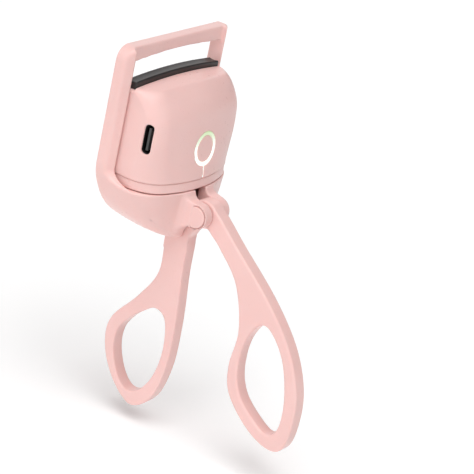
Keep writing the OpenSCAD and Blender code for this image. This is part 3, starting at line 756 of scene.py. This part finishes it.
def pad_shape(x, y, z):
    """The silicone strip: an arched top with soft edges and a shallow lengthwise dip."""
    ax = np.abs(x)
    across = slab(y, PAD_FRONT, HEAD_REAR)
    dip = PAD_DIP * np.maximum(1 - ((y - (PAD_FRONT + HEAD_REAR) / 2) / 1.35) ** 2, 0)
    top = z - arch_z(x, PAD_TOP) + dip
    foot = arch_z(x, PAD_TOP - PAD_T) - z
    side = round_and(np.maximum(across, ax - PAD_HALF), top, 0.4)
    return round_and(side, foot, 0.15)


def cap_shape(x, y, z):
    """A pin cap: a disc with a rounded rim and a barely domed face."""
    radius = np.hypot(y, z)
    ax = np.abs(x)
    face = ax - CAP_HIGH[0] + 0.06 * (radius / CAP_R) ** 2
    return np.maximum(round_and(radius - CAP_R, face, 0.28), CAP_LOW[0] - ax)


STEP = 0.3
FINE_STEP = 0.14
PINK_SLOT = "pink_plastic"
mesh_piece("jaw_frame_moulding", jaw_shape, FRAME_LOW, FRAME_HIGH, STEP, "frame", PINK_SLOT,
           PINK, ["jaw_frame"])
mesh_piece("head_shell_moulding", shell_shape, SHELL_LOW, SHELL_HIGH, STEP, "head", PINK_SLOT,
           PINK, ["head_shell"])
mesh_piece("head_base_moulding", base_shape, BASE_LOW, BASE_HIGH, 0.2, "head", PINK_SLOT, PINK,
           ["head_base"])
mesh_piece("front_handle_moulding", front_shape, HANDLE_LOW, HANDLE_HIGH, STEP, "front_handle",
           PINK_SLOT, PINK, ["front_handle"])
mesh_piece("rear_handle_moulding", rear_shape, REAR_LOW, REAR_HIGH, STEP, "frame", PINK_SLOT,
           PINK, ["rear_handle"])
# The lens also carries the glowing hairline below the ring, a painted highlight line
mesh_piece("light_ring_lens", ring_shape, RING_LOW, RING_HIGH, FINE_STEP, "head", "light_guide",
           MATERIALS["light_guide"], ["light_ring"])
mesh_piece("button_cap_moulding", button_shape, *node_box("button_cap"), FINE_STEP, "power_button",
           PINK_SLOT, PINK, ["button_cap"])
mesh_piece("charging_port_shell", port_shape, PORT_LOW - [1.6, 0, 0], PORT_HIGH, 0.12, "head",
           "port_steel", MATERIALS["port_steel"], ["usb_shell"])
mesh_piece("heating_pad_strip", pad_shape, PAD_LOW, PAD_HIGH, 0.2, "head", "black_silicone",
           MATERIALS["black_silicone"], ["heating_pad"])
for side in ("left", "right"):
    low, high = node_box("pin_cap_" + side)
    mesh_piece("pin_cap_disc_" + side, cap_shape, low, high, FINE_STEP, "frame", PINK_SLOT, PINK,
               ["pin_cap_" + side])

# ---- Finishes of the CAD nodes that stay

for part in frame["record"]["subparts"]:
    target = frame["nodes"][part["node"]].data
    target.materials.clear()
    target.materials.append(MATERIALS[part["material_slot"]])

# ---- Camera, light and floor

VIEW_TURN = math.radians(60.52)
VIEW_RISE = math.radians(21.63)
VIEW_ROLL = math.radians(12.3)
VIEW_DISTANCE = 678.21
VIEW_SHIFT = (8.51, -6.86)
VIEW_LENS = 181.17
back = np.array([-math.sin(VIEW_TURN) * math.cos(VIEW_RISE),
                 -math.cos(VIEW_TURN) * math.cos(VIEW_RISE), math.sin(VIEW_RISE)])
level = np.cross(-back, [0, 0, 1])
level /= np.linalg.norm(level)
rise = np.cross(level, -back)
right = level * math.cos(VIEW_ROLL) + rise * math.sin(VIEW_ROLL)
upward = -level * math.sin(VIEW_ROLL) + rise * math.cos(VIEW_ROLL)
eye = right * VIEW_SHIFT[0] + upward * VIEW_SHIFT[1] + back * VIEW_DISTANCE
camera_data = bpy.data.cameras.new("camera")
camera_data.sensor_width = 36
camera_data.lens = VIEW_LENS
camera_data.clip_end = 20
camera = bpy.data.objects.new("camera", camera_data)
bpy.context.scene.collection.objects.link(camera)
turn = Matrix([list(row) for row in np.stack([right, upward, back], 1)])
camera.matrix_world = Matrix.Translation(Vector((eye + PIVOT) / MM)) @ turn.to_4x4()
bpy.context.scene.camera = camera


def soft_sun(name, source, strength, angle):
    """Even light from the direction of source, as from a large soft panel."""
    data = bpy.data.lights.new(name, "SUN")
    data.energy = strength
    data.angle = math.radians(angle)
    lamp = bpy.data.objects.new(name, data)
    bpy.context.scene.collection.objects.link(lamp)
    lamp.rotation_euler = (-Vector(source)).to_track_quat("-Z", "Y").to_euler()


soft_sun("key_panel", (-0.34, -0.26, 1.0), 2.25, 50)
soft_sun("front_panel", (-0.45, -1.0, 0.5), 0.2, 60)
soft_sun("side_panel", (-0.95, -0.1, 0.35), 0.17, 60)
soft_sun("back_panel", (0.75, 0.5, 0.45), 0.5, 50)


def studio_world():
    """Pale surroundings, brighter on the key's side and behind than at the front right."""
    world = bpy.data.worlds.new("studio")
    world.use_nodes = True
    tree = world.node_tree
    where = tree.nodes.new("ShaderNodeTexCoord")
    aim = tree.nodes.new("ShaderNodeVectorMath")
    aim.operation = "DOT_PRODUCT"
    aim.inputs[1].default_value = (-0.8, 0.6, 0.0)
    span = tree.nodes.new("ShaderNodeMapRange")
    span.inputs["From Min"].default_value = -0.35
    span.inputs["From Max"].default_value = 1.0
    span.inputs["To Min"].default_value = 0.0
    span.inputs["To Max"].default_value = 0.66
    tree.links.new(where.outputs["Generated"], aim.inputs[0])
    tree.links.new(aim.outputs["Value"], span.inputs["Value"])
    tree.links.new(span.outputs["Result"], tree.nodes["Background"].inputs["Strength"])
    tree.nodes["Background"].inputs["Color"].default_value = (1, 1, 1, 1)
    return world


bpy.context.scene.world = studio_world()


def plain_white():
    material, tree, shader = new_material("stage_white")
    tree.links.new(ramp(tree, noise(tree, 3), grey(0.9), grey(0.92)), shader.inputs["Base Color"])
    shader.inputs["Roughness"].default_value = 0.9
    shader.inputs["Emission Color"].default_value = (1, 1, 1, 1)
    shader.inputs["Emission Strength"].default_value = 0.16
    return material


# The floor lies just below the lowest place that the front handle swings through
handle_reach = np.hypot(*smooth_loop(FRONT_OUTER).T).max()
floor_z = (PIVOT[2] - handle_reach) / MM - 0.0005
floor_data = bpy.data.meshes.new("floor")
FLOOR_HALF = 3.0
floor_data.from_pydata([(-FLOOR_HALF, -FLOOR_HALF, floor_z), (FLOOR_HALF, -FLOOR_HALF, floor_z),
                        (FLOOR_HALF, FLOOR_HALF, floor_z), (-FLOOR_HALF, FLOOR_HALF, floor_z)],
                       [], [(0, 1, 2, 3)])
floor = bpy.data.objects.new("floor", floor_data)
bpy.context.scene.collection.objects.link(floor)
floor_data.materials.append(plain_white())

bpy.context.scene.view_settings.view_transform = "Standard"
bpy.context.view_layer.update()
